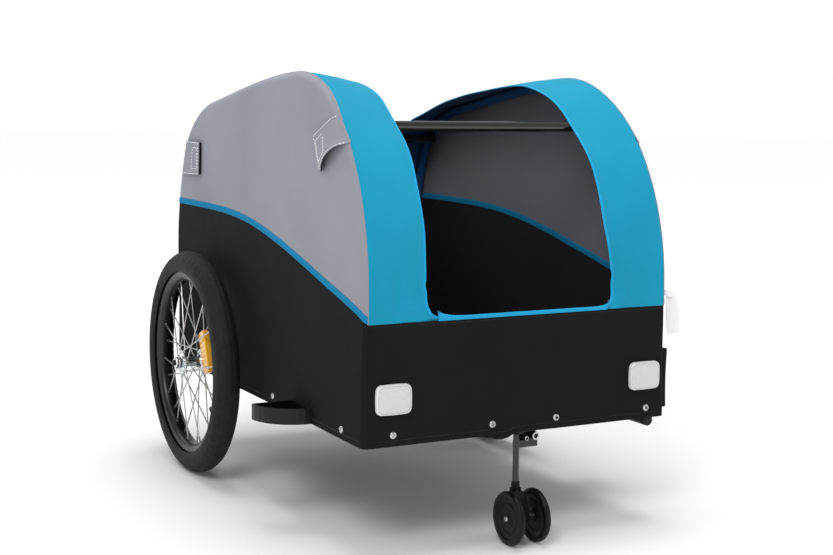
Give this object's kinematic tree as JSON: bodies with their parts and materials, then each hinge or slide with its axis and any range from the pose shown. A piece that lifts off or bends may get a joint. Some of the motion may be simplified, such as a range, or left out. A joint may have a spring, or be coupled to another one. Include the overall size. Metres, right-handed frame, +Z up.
{
  "type": "bicycle trailer",
  "caption": "Open-topped fabric cargo trailer for a bicycle: tube frame, hooped side walls, spoked wheels and a folding front caster.",
  "frame": {"origin": "on the ground, at the middle of the overall length and width", "axes": "+Z up, +X towards the side that the tow arm fits on, +Y towards the rear; the nose faces -Y"},
  "size_m": [0.691, 0.894, 0.7125],
  "materials": {
    "frame_paint": "satin black paint",
    "crossbar_paint": "gloss black paint",
    "black_plastic": "moulded",
    "floor_board": "textured board",
    "grey_cloth": "coated plain weave",
    "black_cloth": "coated plain weave",
    "blue_cloth": "coated plain weave",
    "blue_tape": "woven tape",
    "white_reflector": "prismatic reflector",
    "red_reflector": "prismatic reflector",
    "amber_reflector": "prismatic reflector",
    "tyre_rubber": "matt rubber",
    "rim_metal": "dark anodised",
    "bright_steel": "zinc plated",
    "hub_alloy": "polished"
  },
  "bodies": {
    "body": {"axle_beam": "frame_paint", "axle_left": "hub_alloy", "axle_receiver_left": "frame_paint", "axle_receiver_right": "frame_paint", "axle_right": "hub_alloy", "bar_fitting_front_left": "black_plastic", "bar_fitting_front_right": "black_plastic", "bar_fitting_rear_left": "black_plastic", "bar_fitting_rear_right": "black_plastic", "caster_bracket": "frame_paint", "crossbar_front": "crossbar_paint", "crossbar_rear": "crossbar_paint", "flag_sleeve": "black_cloth", "floor_board": "floor_board", "fold_bolt": "bright_steel", "front_screw_1": "bright_steel", "front_screw_2": "bright_steel", "front_screw_3": "bright_steel", "front_screw_4": "bright_steel", "front_tube": "frame_paint", "hood_band_left": "blue_cloth", "hood_band_right": "blue_cloth", "hoop_left": "frame_paint", "hoop_right": "frame_paint", "piping_left": "blue_tape", "piping_right": "blue_tape", "rail_left": "frame_paint", "rail_right": "frame_paint", "rear_tube": "frame_paint", "reflector_front_left": "white_reflector", "reflector_front_right": "white_reflector", "reflector_rear_left": "red_reflector", "reflector_rear_right": "red_reflector", "side_lower_left": "black_cloth", "side_lower_right": "black_cloth", "side_upper_left": "grey_cloth", "side_upper_right": "grey_cloth", "sill_strip": "blue_cloth", "socket_plug": "black_plastic", "stop_bolt": "bright_steel", "tow_socket": "frame_paint", "tub_front": "black_cloth", "tub_rear": "black_cloth", "wheel_guard_left": "black_plastic", "wheel_guard_right": "black_plastic"},
    "wheel_left": {"tyre_left": "tyre_rubber", "rim_left": "rim_metal", "hub_left": "hub_alloy", "spoke_reflector_left": "amber_reflector"},
    "wheel_right": {"tyre_right": "tyre_rubber", "rim_right": "rim_metal", "hub_right": "hub_alloy", "spoke_reflector_right": "amber_reflector"},
    "release_button_left": {"axle_button_left": "black_plastic"},
    "release_button_right": {"axle_button_right": "black_plastic"},
    "caster_leg": {"caster_leg": "frame_paint"},
    "caster_yoke": {"caster_yoke": "black_plastic", "caster_axle": "bright_steel"},
    "caster_wheel_left": {"caster_wheel_left": "black_plastic"},
    "caster_wheel_right": {"caster_wheel_right": "black_plastic"}
  },
  "joints": [
    {"name": "wheel_left_spin", "type": "hinge", "parent": "body", "child": "wheel_left", "pos_m": [-0.309, 0.234, 0.1995], "axis": [1, 0, 0], "continuous": true},
    {"name": "wheel_right_spin", "type": "hinge", "parent": "body", "child": "wheel_right", "pos_m": [0.309, 0.234, 0.1995], "axis": [1, 0, 0], "continuous": true},
    {"name": "release_left_press", "type": "slide", "parent": "body", "child": "release_button_left", "axis": [1, 0, 0], "range_m": [0, 0.004], "stiffness_N_per_m": 500},
    {"name": "release_right_press", "type": "slide", "parent": "body", "child": "release_button_right", "axis": [-1, 0, 0], "range_m": [0, 0.004], "stiffness_N_per_m": 500},
    {"name": "caster_fold", "type": "hinge", "parent": "body", "child": "caster_leg", "pos_m": [0.022, -0.386, 0.162], "axis": [0, 1, 0], "range_deg": [-90, 0]},
    {"name": "caster_swivel", "type": "hinge", "parent": "caster_leg", "child": "caster_yoke", "pos_m": [-0.007, -0.386, 0.07], "axis": [0, 0, 1], "continuous": true},
    {"name": "caster_wheel_left_spin", "type": "hinge", "parent": "caster_yoke", "child": "caster_wheel_left", "pos_m": [-0.0296, -0.4055, 0.0415], "axis": [1, 0, 0], "continuous": true},
    {"name": "caster_wheel_right_spin", "type": "hinge", "parent": "caster_yoke", "child": "caster_wheel_right", "pos_m": [0.0156, -0.4055, 0.0415], "axis": [1, 0, 0], "continuous": true}
  ]
}
